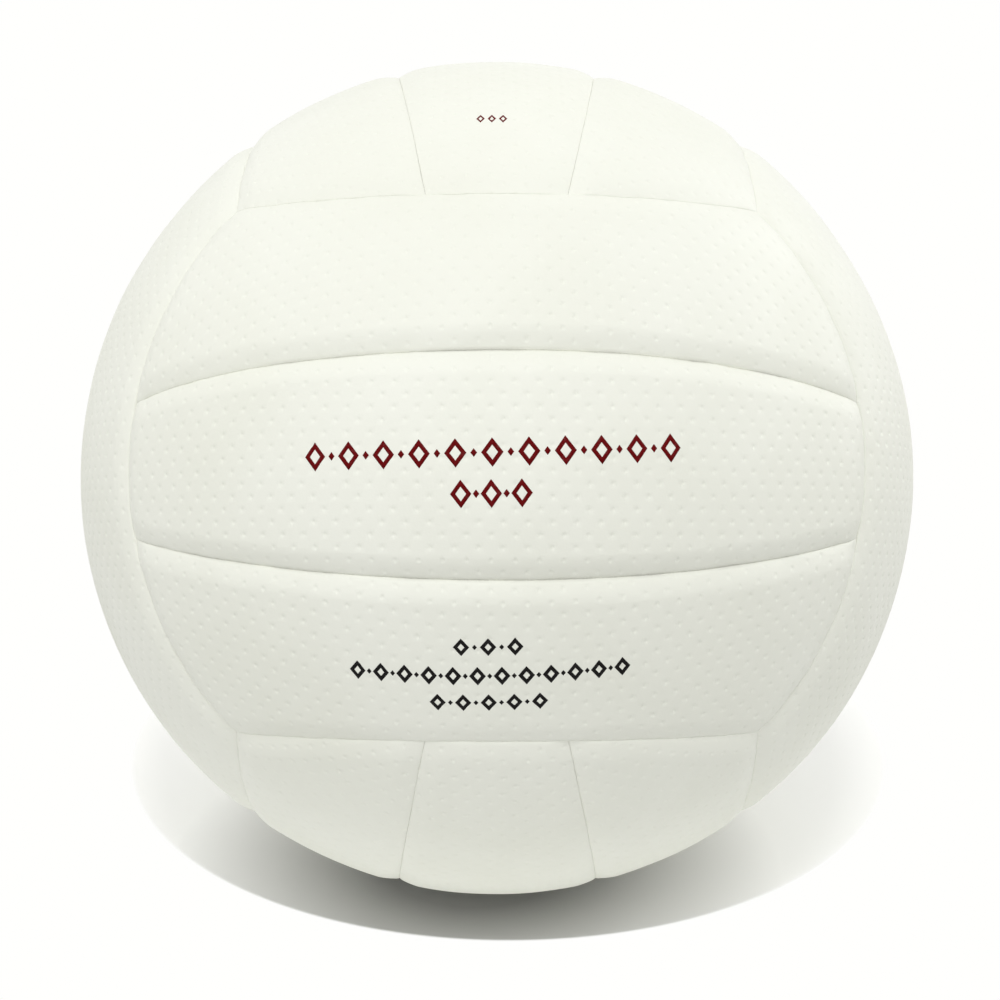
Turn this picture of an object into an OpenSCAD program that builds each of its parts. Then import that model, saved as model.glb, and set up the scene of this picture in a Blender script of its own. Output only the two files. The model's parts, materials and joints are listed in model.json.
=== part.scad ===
// Laminated indoor volleyball with eighteen panels in six groups of three.
// Millimetres, +Z up, origin at the centre of the ball, which lies as it rests on a floor.

/* [Ball] */
// Diameter over the crown of the panels
ball_d = 210; // [204:0.5:216]
// Angle in degrees by which the front group looks up above the horizon
lean = 22; // [0:1:45]

/* [Cover panels] */
// Thickness of the synthetic leather skin
skin_t = 1.2; // [0.9:0.1:1.6]
// Thickness of the skin where its skived edge turns down round the foam
skin_edge_t = 0.6; // [0.4:0.1:1]
// Thickness of the foam backing in the middle of a panel
pad_t = 2.2; // [1.8:0.1:3.5]
// Gap between the edges of two neighbouring panels
seam_gap = 0.3; // [0.2:0.05:0.5]
// How far a rolled edge drops below the crown of the ball at a seam
seam_drop = 1.3; // [0.8:0.1:1.5]
// Width of the rolled edge, measured over the ball from the seam
seam_roll_w = 5; // [3.5:0.25:7]
// Tilt in degrees of the plane of the seam beside a middle panel
inner_seam_tilt = 12.3; // [10:0.1:15]
// Distance from the centre of the ball to that plane
inner_seam_offset = 2.6; // [1.5:0.1:4]

/* [Carcass, winding and bladder] */
// Thickness of the rubber carcass under the panels
carcass_t = 0.8; // [0.5:0.1:1.2]
// Thickness of the layer of nylon thread wound round the bladder
winding_t = 0.6; // [0.6:0.1:1.2]
// Thickness of the bladder wall
bladder_t = 0.6; // [0.5:0.1:1.2]
// Glue line between two bonded layers
glue_gap = 0.1; // [0.05:0.01:0.15]

/* [Valve housing] */
// Radius of the flange bonded to the bladder
flange_r = 14; // [11:0.5:18]
// Outer radius of the neck that shows in the cover
neck_r = 4.4; // [4:0.1:5]
// Outer radius of the pocket that hangs inside the bladder
pocket_r = 5.4; // [5:0.1:6.5]
// How far the mouth of the valve lies below the crown of the ball
mouth_drop = 0.6; // [0.3:0.1:1]
// Thickness of the inner end of the pocket
pocket_end_t = 1.2; // [0.8:0.1:2]
// Radius of the air hole in the inner end of the pocket
air_hole_r = 1.6; // [1:0.1:2]
// Clearance round the housing and round the core
valve_fit = 0.15; // [0.1:0.01:0.2]

/* [Valve core] */
// Length of the core from its mouth to its tip
core_l = 16; // [13:0.5:20]
// Radius of the head of the core
head_r = 3.4; // [3.1:0.1:3.6]
// Thickness of the head of the core
head_t = 1.2; // [0.8:0.1:1.6]
// Radius of the shank of the core
shank_r = 2.5; // [2.2:0.1:2.8]
// Radius of the barb that holds the core in the pocket
barb_r = 3.3; // [3:0.1:3.8]
// Length of the barb
barb_l = 4; // [3:0.5:5]
// Distance from the mouth to the middle of the barb
barb_depth = 9; // [7:0.5:10]
// Radius of the channel that the inflating needle goes into
needle_r = 1; // [0.9:0.05:1.2]
// Depth of the needle channel below the mouth
needle_depth = 12; // [10:0.5:12.5]
// Radius of the funnel at the mouth of the channel
funnel_r = 1.9; // [1.5:0.1:2.3]
// Depth of that funnel
funnel_t = 1.1; // [0.6:0.1:1.5]
// Length of the slit in the lips at the tip
slit_l = 1.6; // [1.2:0.1:1.8]
// Width of that slit
slit_w = 0.2; // [0.1:0.05:0.4]

/* [Balance patch] */
// Radius of the rubber patch opposite the valve
patch_r = 15; // [12:0.5:18]
// Thickness of that patch
patch_t = 2.5; // [1.5:0.1:3.5]

/* [Hidden] */
// Each group has a name, a count of thirds of a turn and whether it faces the opposite way, as
// in_group() uses them, and then the names of its panels from its -X side to its +X side.
GROUPS = [
    ["top", 0, false, ["left", "middle", "right"]],
    ["bottom", 0, true, ["right", "middle", "left"]],
    ["right", 1, false, ["front", "middle", "rear"]],
    ["left", 1, true, ["rear", "middle", "front"]],
    ["back", 2, false, ["lower", "middle", "upper"]],
    ["front", 2, true, ["upper", "middle", "lower"]]
];

$fn = 128;

// The valve sits in the middle panel of the back group.
MIDDLE = 1;
VALVE_GROUP = GROUPS[4];
// Every group seam passes through the corners of a cube, so it lies on a cone of this half angle.
group_cone = acos(1 / sqrt(3));
// Angle between the axis of a seam beside a middle panel and the seam itself.
inner_cone = acos(inner_seam_offset / (ball_d / 2));

// Radii of the layers, from the crown of the ball inwards.
crown_r = ball_d / 2;
pad_out_r = crown_r - skin_t - glue_gap;
pad_in_r = pad_out_r - pad_t;
carcass_out_r = pad_in_r - glue_gap;
carcass_in_r = carcass_out_r - carcass_t;
winding_out_r = carcass_in_r - glue_gap;
winding_in_r = winding_out_r - winding_t;
bladder_out_r = winding_in_r - glue_gap;
bladder_in_r = bladder_out_r - bladder_t;
patch_out_r = bladder_in_r - glue_gap;

// One overrun serves every cutter that has to reach past a surface.
overrun = 2;
cutter_r = crown_r + overrun;
// Where the rolled edge bends, as shares of its width and of its drop.
roll_bend_share = 0.4;
roll_bend_drop_share = 0.36;
// Length of the barb's straight band, as a share of the barb.
barb_band_share = 0.25;
// How far the neck and the pocket reach into the flange, as a share of its thickness.
flange_seat_share = 0.25;
flange_seat = winding_t * flange_seat_share;

// Heights along the valve's axis, from the centre of the ball.
mouth_z = crown_r - mouth_drop;
core_tip_z = mouth_z - core_l;
barb_z = mouth_z - barb_depth;
pocket_bottom_z = core_tip_z - valve_fit - pocket_end_t;
// The slit cuts through the lips between the needle channel and the tip.
lip_t = core_l - needle_depth;

// Places a group, modelled about +Z with its panels along Y, in its own place on the ball.
module in_group(group) {
    rotate([-lean, 0, 0])
        rotate(a = 120 * group[1], v = [1, 1, 1])
            rotate([0, group[2] ? 180 : 0, 0])
                children();
}

// Half section of everything on the inner side of a seam that lies on a cone about the axis.
// It stops short of the seam by side, and its edge rolls down from a crown of radius top_r.
function seam_section(half_angle, top_r, side) =
    let (
        apex_z = side / sin(half_angle),
        point = function(r, arc) [
            r * sin(half_angle - arc), apex_z + r * cos(half_angle - arc)
        ],
        roll = seam_roll_w / crown_r * 180 / PI,
        edge = point(top_r - seam_drop, 0),
        bend = point(top_r - seam_drop * roll_bend_drop_share, roll * roll_bend_share),
        crown = point(top_r, roll),
        past = 2 * crown - bend,
        far = cutter_r + overrun
    )
    [[0, apex_z], edge, bend, past, [far, past.y], [far, far], [0, far]];

// Everything inside a seam whose axis is tilted from +Z towards +X by tilt.
module inside_seam(tilt, half_angle, top_r, side) {
    rotate([0, tilt, 0])
        rotate_extrude()
            polygon(seam_section(half_angle, top_r, side));
}

// Solid block of a middle panel, from its crown down to the centre of the ball.
module middle_block(top_r, side) {
    intersection() {
        sphere(r = top_r);
        inside_seam(0, group_cone, top_r, side);
        inside_seam(inner_seam_tilt - 90, 180 - inner_cone, top_r, side);
        inside_seam(90 - inner_seam_tilt, 180 - inner_cone, top_r, side);
    }
}

// Solid block of the panel between a middle panel and the next group, on the +X side.
module outer_block(top_r, side) {
    intersection() {
        sphere(r = top_r);
        inside_seam(0, group_cone, top_r, side);
        inside_seam(90 + inner_seam_tilt, inner_cone, top_r, side);
        inside_seam(-90, 180 - group_cone, top_r, side);
    }
}

// Block of the panel in one of the three places of a group, counted from its -X side.
module panel_block(place, top_r, side) {
    if (place == MIDDLE)
        middle_block(top_r, side);
    else
        rotate([0, 0, place < MIDDLE ? 180 : 0])
            outer_block(top_r, side);
}

// Round opening for the neck of the valve, in the one panel that the valve passes through.
module valve_opening(group, place, r) {
    if (group == VALVE_GROUP && place == MIDDLE)
        cylinder(r = r, h = cutter_r);
}

// Skin of a panel: a shallow tray whose skived edges turn down round the foam to the carcass.
module skin(group, place) {
    color([0.95, 0.955, 0.93])
        in_group(group)
            difference() {
                panel_block(place, crown_r, seam_gap / 2);
                difference() {
                    panel_block(place, crown_r - skin_t, seam_gap / 2 + skin_edge_t);
                    valve_opening(group, place, neck_r + valve_fit + skin_edge_t);
                }
                sphere(r = pad_in_r);
                valve_opening(group, place, neck_r + valve_fit);
            }
}

// Foam backing that fills the tray of a skin.
module pad(group, place) {
    color([0.93, 0.9, 0.8])
        in_group(group)
            difference() {
                panel_block(place, pad_out_r, seam_gap / 2 + skin_edge_t + glue_gap);
                sphere(r = pad_in_r);
                valve_opening(group, place, neck_r + valve_fit + skin_edge_t + glue_gap);
            }
}

// Hollow ball with a round hole of radius hole_r where the valve passes.
module layer(out_r, in_r, hole_r) {
    in_group(VALVE_GROUP)
        difference() {
            sphere(r = out_r);
            sphere(r = in_r);
            cylinder(r = hole_r, h = cutter_r);
        }
}

module carcass() {
    color([0.16, 0.16, 0.17])
        layer(carcass_out_r, carcass_in_r, neck_r + valve_fit);
}

// The flange of the valve housing lies in the opening of the winding.
module winding() {
    color([0.87, 0.85, 0.78])
        layer(winding_out_r, winding_in_r, flange_r + valve_fit);
}

module bladder() {
    color([0.12, 0.12, 0.13])
        layer(bladder_out_r, bladder_in_r, pocket_r + valve_fit);
}

// Rubber patch inside the bladder, opposite the valve, that balances the valve's weight.
module balance_patch() {
    color([0.2, 0.2, 0.21])
        in_group(VALVE_GROUP)
            intersection() {
                difference() {
                    sphere(r = patch_out_r);
                    sphere(r = patch_out_r - patch_t);
                }
                translate([0, 0, -cutter_r])
                    cylinder(r = patch_r, h = cutter_r);
            }
}

// Half section of the core's outside, from its tip up to its mouth, grown by fit.
function core_section(fit) =
    let (band = barb_l * barb_band_share / 2)
    [
        [0, core_tip_z - fit],
        [shank_r + fit, core_tip_z - fit],
        [shank_r + fit, barb_z - barb_l / 2 - fit],
        [barb_r + fit, barb_z - band - fit],
        [barb_r + fit, barb_z + band + fit],
        [shank_r + fit, barb_z + barb_l / 2 + fit],
        [shank_r + fit, mouth_z - head_t - fit],
        [head_r + fit, mouth_z - head_t - fit],
        [head_r + fit, mouth_z],
        [0, mouth_z]
    ];

// Moulded housing: the neck in the cover, the flange on the bladder and the pocket inside it.
module valve_housing() {
    color([0.2, 0.2, 0.2])
        in_group(VALVE_GROUP)
            difference() {
                union() {
                    translate([0, 0, winding_out_r - flange_seat])
                        cylinder(r = neck_r, h = mouth_z - winding_out_r + flange_seat);
                    intersection() {
                        difference() {
                            sphere(r = winding_out_r);
                            sphere(r = winding_in_r);
                        }
                        cylinder(r = flange_r, h = cutter_r);
                    }
                    translate([0, 0, pocket_bottom_z])
                        cylinder(r = pocket_r, h = winding_in_r + flange_seat - pocket_bottom_z);
                }
                rotate_extrude()
                    polygon(core_section(valve_fit));
                translate([0, 0, mouth_z - head_t])
                    cylinder(r = head_r + valve_fit, h = head_t + overrun);
                translate([0, 0, pocket_bottom_z - overrun])
                    cylinder(r = air_hole_r, h = overrun + pocket_end_t + overrun);
            }
}

// Rubber core with the needle channel, and the slit lips that close behind the needle.
module valve_core() {
    color([0.78, 0.76, 0.7])
        in_group(VALVE_GROUP)
            difference() {
                rotate_extrude()
                    polygon(core_section(0));
                translate([0, 0, mouth_z - needle_depth])
                    cylinder(r = needle_r, h = needle_depth + overrun);
                translate([0, 0, mouth_z - funnel_t])
                    cylinder(r1 = needle_r, r2 = funnel_r, h = funnel_t);
                translate([-slit_l / 2, -slit_w / 2, core_tip_z - overrun])
                    cube([slit_l, slit_w, overrun + lip_t + overrun]);
            }
}

for (group = GROUPS) {
    for (place = [0:2]) {
        skin(group, place);
        pad(group, place);
    }
}
carcass();
winding();
bladder();
balance_patch();
valve_housing();
valve_core();
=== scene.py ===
"""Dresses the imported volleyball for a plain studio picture.

Each cover panel starts as a flat sheet of dimpled leather. The sheet is laid on the ball, trimmed
along its seams, and its edges are rolled down. Lengths are in metres and angles in radians.
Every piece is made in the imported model's own frame, with the centre of the ball at the origin.
"""

import json
import math
from collections import namedtuple

import bmesh
import bpy
import numpy as np
from mathutils import Matrix, Vector


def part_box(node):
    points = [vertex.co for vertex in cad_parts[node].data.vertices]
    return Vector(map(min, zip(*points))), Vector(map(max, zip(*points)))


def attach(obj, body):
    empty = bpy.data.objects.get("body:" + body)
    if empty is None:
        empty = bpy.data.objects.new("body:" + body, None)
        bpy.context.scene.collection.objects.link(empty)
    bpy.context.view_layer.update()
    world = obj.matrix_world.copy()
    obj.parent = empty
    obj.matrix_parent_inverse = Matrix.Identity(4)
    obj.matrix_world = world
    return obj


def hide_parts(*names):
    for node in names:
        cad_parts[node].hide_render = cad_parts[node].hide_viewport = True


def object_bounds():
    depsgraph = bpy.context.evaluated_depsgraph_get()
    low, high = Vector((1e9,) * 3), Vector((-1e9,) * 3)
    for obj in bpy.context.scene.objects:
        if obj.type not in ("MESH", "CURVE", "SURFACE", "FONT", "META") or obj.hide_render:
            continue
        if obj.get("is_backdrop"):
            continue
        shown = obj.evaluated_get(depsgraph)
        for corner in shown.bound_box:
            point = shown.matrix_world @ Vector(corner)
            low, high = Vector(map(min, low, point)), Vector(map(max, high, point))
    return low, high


bl_info = {
    "name": "Indoor volleyball",
    "version": (1, 0, 0),
    "blender": (4, 5, 0),
    "location": "View3D > Sidebar > Volleyball",
    "description": "Builds the cover, the print, the inner layers and the studio of a volleyball",
    "category": "Object",
}

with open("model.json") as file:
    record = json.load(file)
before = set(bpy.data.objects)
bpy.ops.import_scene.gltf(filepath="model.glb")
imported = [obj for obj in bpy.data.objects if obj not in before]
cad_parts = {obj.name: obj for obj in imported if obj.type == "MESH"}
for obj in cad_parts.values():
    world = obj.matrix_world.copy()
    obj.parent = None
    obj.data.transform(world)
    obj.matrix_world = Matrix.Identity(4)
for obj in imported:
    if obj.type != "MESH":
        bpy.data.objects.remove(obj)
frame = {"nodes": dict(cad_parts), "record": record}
CAD_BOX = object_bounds()


def outer_radius(node):
    """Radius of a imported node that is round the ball's centre."""
    low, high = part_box(node)
    return (high.x - low.x) / 2


MM = 0.001
MOUNTS = {mount["name"]: mount for mount in frame["record"]["mounts"]}
BALL_R = -MOUNTS["rest_point"]["pos_m"][2]
VALVE_AXIS = Vector(MOUNTS["needle_bore"]["axis"])
# Angle by which the front group looks up above the horizon.
LEAN = math.atan2(-VALVE_AXIS.z, VALVE_AXIS.y)
CARCASS_R = outer_radius("carcass")

# A group's name, its thirds of a turn about the cube's diagonal, whether it then faces the
# opposite way, and its panels from its -X side to its +X side before it is placed.
GROUPS = (
    ("top", 0, False, ("left", "middle", "right")),
    ("bottom", 0, True, ("right", "middle", "left")),
    ("right", 1, False, ("front", "middle", "rear")),
    ("left", 1, True, ("rear", "middle", "front")),
    ("back", 2, False, ("lower", "middle", "upper")),
    ("front", 2, True, ("upper", "middle", "lower")),
)
# The place of the middle panel in its group, and the three kinds of panel.
MIDDLE = 1
MIDDLE_PANEL = "middle"
VALVE_PANEL = "valve"
OUTER_PANEL = "outer"
# Every group seam passes through the corners of a cube, at this latitude from the cube's faces.
GROUP_LATITUDE = math.asin(1 / math.sqrt(3))
# Points closer than this to a cut count as lying on it.
SNAP = 0.02 * MM
# Where a rolled edge is cut, as shares of its width.
ROLL_STEPS = (0.03, 0.08, 0.16, 0.29, 0.46, 0.68, 1.0)
RIM_SEGMENTS = 64
# Half widths of the flat sheets before they are trimmed, and how much longer they are cut than
# the panels.
HALF_WIDTHS = {MIDDLE_PANEL: 27 * MM, VALVE_PANEL: 27 * MM, OUTER_PANEL: 33 * MM}
TRIM_SHARE = 1.02
# Side of a cell in a sheet without dimples.
PLAIN_CELL = 5 * MM
# The rings of a dimple, as shares of its rim's radius and of its depth.
DIMPLE_RINGS = ((1.0, 0.06), (0.58, 0.66))
# Vertex attributes: how far the leather has rolled into a seam, and how deep it drops there.
SEAM_LAYER = "seam"
DROP_LAYER = "drop"
# Vertex attribute of the winding: 1 down between the turns of thread and 0 on top of them.
# It weights the painted shade between the turns.
GAP_SHADE_LAYER = "gap"

# A pattern of waves over the ball: its height, the length of its waves and its seed.
Ripples = namedtuple("Ripples", "height length seed")
WAVES_IN_RIPPLES = 5
TENSION = Ripples(1.0, 140 * MM, 983)
PUCKERS = (Ripples(0.6, 11 * MM, 12), Ripples(0.5, 5 * MM, 13))
# A panel sways in three directions, and each adds its number to the seed.
SWAYS = (Ripples(1.0, 80 * MM, 20), Ripples(0.2, 17 * MM, 30))
# The share of its depth that a seam keeps where it is slackest.
LEAST_DEPTH = 0.2
# How dark the painted shade, with a little grime, is deep in a seam at middling tension, and how
# much tension changes that, so tauter and deeper seams get darker.
CREASE_SHADE_MEAN = 0.85
CREASE_SHADE_CHANGE = 0.3

# The winding: steps from pole to pole of its layer, steps round a turn of thread, the seed of
# its turns, and the share of a thread's height by which the lowest turns are sunk.
WINDING_STEPS = 32
THREAD_STEPS = 72
WINDING_SEED = 5
SUNK_SHARE = 0.4

# The part of a material's slow drift over which its roughness changes.
ROUGH_DRIFT = (0.3, 0.7)
# How far rubber's roughness changes either way.
RUBBER_SPREAD = 0.08
# A rubber piece: its node, the setting with its colour, its roughness, and its grain's scale and
# relief.
Rubber = namedtuple("Rubber", "node setting roughness grain_scale relief")
INNER_RUBBERS = (
    Rubber("carcass", "carcass", 0.75, 900, 0.12 * MM),
    Rubber("bladder", "bladder", 0.45, 500, 0.05 * MM),
    Rubber("balance_patch", "patch", 0.6, 800, 0.1 * MM),
)
VALVE_RUBBERS = (
    Rubber("valve_housing", "housing", 0.6, 1600, 0.05 * MM),
    Rubber("valve_core", "core", 0.5, 2000, 0.04 * MM),
)

FLOOR_SEGMENTS = 96
# The floor's bounce fades between these distances from under the ball.
BOUNCE_FADE = (0.95 * BALL_R, 2.1 * BALL_R)
# The camera sees the floor painted darker near the ball, a painted shadow added to the real one.
# Its darkest part has this tone, and it fades out between these distances from its middle.
PAINTED_SHADOW_TONE = 0.28
PAINTED_SHADOW_FADE = (0.24 * BALL_R, 0.78 * BALL_R)
# The floor turns plain white between these shares of the shadow's radius.
EDGE_FADE = (0.993, 1.005)
# The camera's sensor, and the nearest and the furthest that it sees.
SENSOR_WIDTH_MM = 36
NEAR_CLIP = 0.01
FAR_CLIP = 50

# A seam is a circle on the ball, and roll is the width of the rolled edge beside it. The panel
# lies on the far side of the circle's plane from its normal.
Seam = namedtuple("Seam", "normal latitude roll")
# The sheet's middle on the ball, and the two directions in which the sheet is measured.
SheetAxes = namedtuple("SheetAxes", "centre across along")
# A new material, its nodes, and its grain's relief and slow drift.
Base = namedtuple("Base", "material tree surface place height drift")


def length(name, text, default, high=1.0):
    return bpy.props.FloatProperty(
        name=name,
        description=text,
        default=default,
        min=0.0,
        max=high,
        precision=5,
        subtype="DISTANCE",
        unit="LENGTH",
    )


def share(name, text, default):
    return bpy.props.FloatProperty(
        name=name, description=text, default=default, min=0.0, max=1.0, subtype="FACTOR"
    )


def colour(name, text, default):
    return bpy.props.FloatVectorProperty(
        name=name, description=text, default=default, min=0.0, max=1.0, size=3, subtype="COLOR"
    )


def angle(name, text, degrees):
    return bpy.props.FloatProperty(
        name=name, description=text, default=math.radians(degrees), subtype="ANGLE"
    )


def amount(name, text, default, low=0.0, high=1000.0):
    return bpy.props.FloatProperty(
        name=name, description=text, default=default, min=low, max=high
    )


class CoverSettings(bpy.types.PropertyGroup):
    """Sizes and colours of the leather panels and their foam."""

    leather_t: length("Leather thickness", "Thickness of a panel's skin", 1.1 * MM)
    foam_t: length("Foam thickness", "Thickness of the foam behind a skin", 2.2 * MM)
    glue_gap: length("Glue line", "Gap between two bonded layers", 0.1 * MM)
    seam_gap: length("Seam gap", "Gap between two neighbouring panels", 0.03 * MM)
    seam_roll: length("Edge width", "Width of a panel's rolled edge", 5.3 * MM)
    seam_drop: length("Edge drop", "How far a panel's edge drops at a seam", 1.45 * MM)
    fold: length("Fold width", "Width of the sharp fold at the very edge", 0.9 * MM)
    fold_share: share("Fold share", "Share of the drop that the sharp fold makes", 0.13)
    corner_drop: length("Corner drop", "Extra drop where two seams meet", 0.5 * MM)
    roll_power: amount(
        "Edge curve", "How much of an edge's drop lies close to the seam", 1.5, low=1.0, high=6.0
    )
    inner_tilt: angle("Seam tilt", "Tilt of the plane of the seam beside a middle panel", 12.3)
    inner_offset: length("Seam offset", "How far that plane is from the centre", 2.6 * MM)
    row_pitch: length("Row pitch", "Distance between two rows of dimples", 2.72 * MM)
    dimple_pitch: length("Dimple pitch", "Distance between dimples in a row", 5.22 * MM)
    dimple_r: length("Dimple radius", "Radius of a dimple at its rim", 0.7 * MM)
    dimple_depth: length("Dimple depth", "Depth of a dimple", 0.18 * MM)
    sway: length("Unevenness", "How far the hand-laid panels wander", 0.15 * MM)
    slack: share("Uneven tension", "How much seams differ in depth round the ball", 0.4)
    pucker: share("Puckering", "How much a seam's depth varies along it", 0.1)
    valve_hole_r: length("Valve opening", "Radius of the opening for the valve", 4.55 * MM)
    valve_roll: length("Valve edge width", "Width of the edge at the valve", 2.4 * MM)
    valve_drop: length("Valve edge drop", "Drop of the edge at the valve", 0.5 * MM)
    leather: colour("Leather", "Colour of the leather", (0.862, 0.872, 0.79))
    leather_shade: colour("Leather, aged", "Colour of its slight ageing", (0.79, 0.80, 0.70))
    # Painted shade, with a little grime, for the leather deep in the seams.
    crease_shade: colour("Crease", "Colour of the leather deep in a seam", (0.62, 0.62, 0.565))
    foam: colour("Foam", "Colour of the foam", (0.84, 0.79, 0.66))


class PrintSettings(bpy.types.PropertyGroup):
    """Inks of the plain ornaments on the cover."""

    ink_t: length("Ink thickness", "How far the ink stands on the leather", 0.03 * MM)
    red: colour("Red ink", "Colour of the ornaments on the middle panels", (0.13, 0.001, 0.002))
    black: colour("Black ink", "Colour of the ornaments on the lower panel", (0.009, 0.008, 0.008))
    worn: share("Ink wear", "How far the ink is thinned where it is worn", 0.15)
    slant: angle("Slant", "Angle by which the rows rise to the right of their panels", 1.4)


class LayerSettings(bpy.types.PropertyGroup):
    """Sizes and colours of the inner layers and of the valve."""

    winding_t: length("Winding thickness", "Thickness of the layer of thread", 0.6 * MM)
    thread_w: length("Thread width", "Width of the thread where it is pressed flat", 0.9 * MM)
    thread_h: length("Thread height", "How far the thread stands out of the layer", 0.3 * MM)
    turns: bpy.props.IntProperty(
        name="Turns", description="Number of turns of thread that are seen", default=380, min=1
    )
    flange_r: length("Flange opening", "Radius of the winding's opening", 14.15 * MM)
    carcass: colour("Carcass", "Colour of the rubber carcass", (0.05, 0.05, 0.055))
    thread: colour("Thread", "Colour of the wound thread", (0.78, 0.75, 0.66))
    bladder: colour("Bladder", "Colour of the rubber bladder", (0.025, 0.025, 0.028))
    patch: colour("Patch", "Colour of the balance patch", (0.06, 0.06, 0.065))
    housing: colour("Valve housing", "Colour of the valve's housing", (0.04, 0.04, 0.042))
    core: colour("Valve core", "Colour of the valve's core", (0.55, 0.52, 0.46))


class StageSettings(bpy.types.PropertyGroup):
    """The floor, the light and the camera."""

    elevation: angle("Camera elevation", "Angle of the camera above the horizon", 20.3)
    distance: length("Camera distance", "From the camera to the centre", 5.5 * BALL_R, high=5)
    focal_length: amount("Focal length", "Focal length in millimetres", 81.0)
    aim_right: length("Aim to the right", "How far the aim lies right of the ball", 0.8 * MM)
    aim_below: length("Aim below", "How far the aim lies below the ball's centre", 5.5 * MM)
    floor_r: length("Floor radius", "Radius of the round floor", 6.0, high=20)
    floor: colour("Floor", "Colour of the floor", (1.0, 1.0, 0.985))
    floor_near: share("Near bounce", "Light that the floor throws back near the ball", 0.95)
    floor_far: share("Far bounce", "Light that the floor throws back far from the ball", 0.38)
    shadow_r: length("Shadow radius", "Radius of the floor that shows shadow", 1.05 * BALL_R)
    shadow_back: length("Shadow offset", "How far it lies behind the ball", 0.56 * BALL_R)
    shadow_right: length("Shadow side offset", "How far it lies to the right", 0.03 * BALL_R)
    # Where the painted shadow on the floor is darkest.
    painted_shadow_left: length("Contact offset", "How far left its darkest part is", 0.055 * BALL_R)
    painted_shadow_front: length("Contact front", "How far in front that part is", 0.1 * BALL_R)
    sun: amount("Key light", "Strength of the key light", 0.45)
    sun_tilt: angle("Key tilt", "Its angle from straight above, towards the camera", 28)
    sun_size: angle("Key size", "How wide it looks from the ball", 9)
    front: amount("Front light", "Strength of the wide, soft light from the front", 0.54)
    front_tilt: angle("Front tilt", "Its angle from straight above, towards the camera", 52)
    front_size: angle("Front size", "How wide it looks from the ball", 60)
    side: amount("Side light", "Strength of the wide, soft light from the right", 0.97)
    side_tilt: angle("Side tilt", "Its angle from straight above", 78)
    side_turn: angle("Side turn", "Its angle round the ball, from the camera's side", 115)
    side_size: angle("Side size", "How wide it looks from the ball", 50)
    fill: share("Fill light", "Strength of the even light from all round", 0.81)
    fill_left: share("Fill from the left", "How much more of it comes from the left", 0.32)


def placed(thirds, opposite, turned):
    """Matrix that carries a panel from +Z to its own group."""
    matrix = Matrix.Rotation(-LEAN, 4, "X")
    matrix @= Matrix.Rotation(math.radians(120 * thirds), 4, Vector((1, 1, 1)))
    if opposite:
        matrix @= Matrix.Rotation(math.pi, 4, "Y")
    if turned:
        matrix @= Matrix.Rotation(math.pi, 4, "Z")
    return matrix


def all_panels():
    """Yields each panel's name, its kind and its placing matrix."""
    for group, thirds, opposite, places in GROUPS:
        for number, place in enumerate(places):
            kind = MIDDLE_PANEL if number == MIDDLE else OUTER_PANEL
            if number == MIDDLE and group == "back":
                kind = VALVE_PANEL
            yield f"{group}_{place}", kind, placed(thirds, opposite, number < MIDDLE)


def inner_latitude(cover):
    return math.asin(cover.inner_offset / BALL_R)


def panel_seams(cover, kind):
    """The seams round a panel of the group about +Z: first both ends, then the long sides."""
    side = Vector((math.cos(cover.inner_tilt), 0, -math.sin(cover.inner_tilt)))
    latitude = inner_latitude(cover)
    circles = [(Vector((0, 0, -1)), -GROUP_LATITUDE)]
    if kind == OUTER_PANEL:
        circles += [(Vector((1, 0, 0)), GROUP_LATITUDE), (-side, -latitude)]
    else:
        circles += [(side, latitude), (Vector((-side.x, 0, side.z)), latitude)]
    return [Seam(*circle, cover.seam_roll) for circle in circles]


def panel_rims(cover, kind):
    """The edges of round openings in a panel: the valve's, in the panel that has it."""
    if kind != VALVE_PANEL:
        return []
    latitude = math.pi / 2 - cover.valve_hole_r / BALL_R
    return [Seam(Vector((0, 0, 1)), latitude, cover.valve_roll)]


def sheet_axes(cover, kind):
    """Where a panel's flat sheet touches the ball."""
    inner = cover.inner_tilt + inner_latitude(cover)
    middle = (inner + GROUP_LATITUDE) / 2 if kind == OUTER_PANEL else 0.0
    return SheetAxes(
        Vector((math.sin(middle), 0, math.cos(middle))),
        Vector((math.cos(middle), 0, -math.sin(middle))),
        Vector((0, 1, 0)),
    )


def on_ball(axes, across, along, radius=BALL_R):
    """The point of the ball under a point of the sheet."""
    turn = across / BALL_R
    run = along / BALL_R
    row = axes.centre * math.cos(run) + axes.along * math.sin(run)
    return (row * math.cos(turn) + axes.across * math.sin(turn)) * radius


def sheet_grid(half_across, half_along, cell_across, cell_along):
    """Flat grid centred on the origin that covers at least the given half sizes."""
    columns = 2 * math.ceil(half_across / cell_across)
    rows = 2 * math.ceil(half_along / cell_along)
    grid = bmesh.new()
    bmesh.ops.create_grid(
        grid,
        x_segments=columns,
        y_segments=rows,
        size=1,
        matrix=Matrix.Diagonal((columns * cell_across / 2, rows * cell_along / 2, 1, 1)),
    )
    return grid


def clear_middle(sheet, reach):
    """Takes the cells round the middle out of a flat grid."""
    near = [face for face in sheet.faces if face.calc_center_median().length < reach]
    bmesh.ops.delete(sheet, geom=near, context="FACES")


def round_opening(sheet, reach, hole_r, roll):
    """Fills the cleared middle of a sheet with rings round an opening."""
    edges = [edge for edge in sheet.edges if edge.is_boundary]
    around = [edge for edge in edges if (edge.verts[0].co + edge.verts[1].co).length < 2 * reach]
    rings = []
    for step in (*reversed(ROLL_STEPS), 0.0):
        radius = hole_r + step * roll
        ring = bmesh.ops.create_circle(sheet, segments=RIM_SEGMENTS, radius=radius)
        rings.append(list({edge for vert in ring["verts"] for edge in vert.link_edges}))
    for outer, inner in zip(rings, rings[1:]):
        bmesh.ops.bridge_loops(sheet, edges=outer + inner)
    bmesh.ops.triangle_fill(
        sheet, use_beauty=True, edges=around + rings[0], normal=Vector((0, 0, 1))
    )


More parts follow.
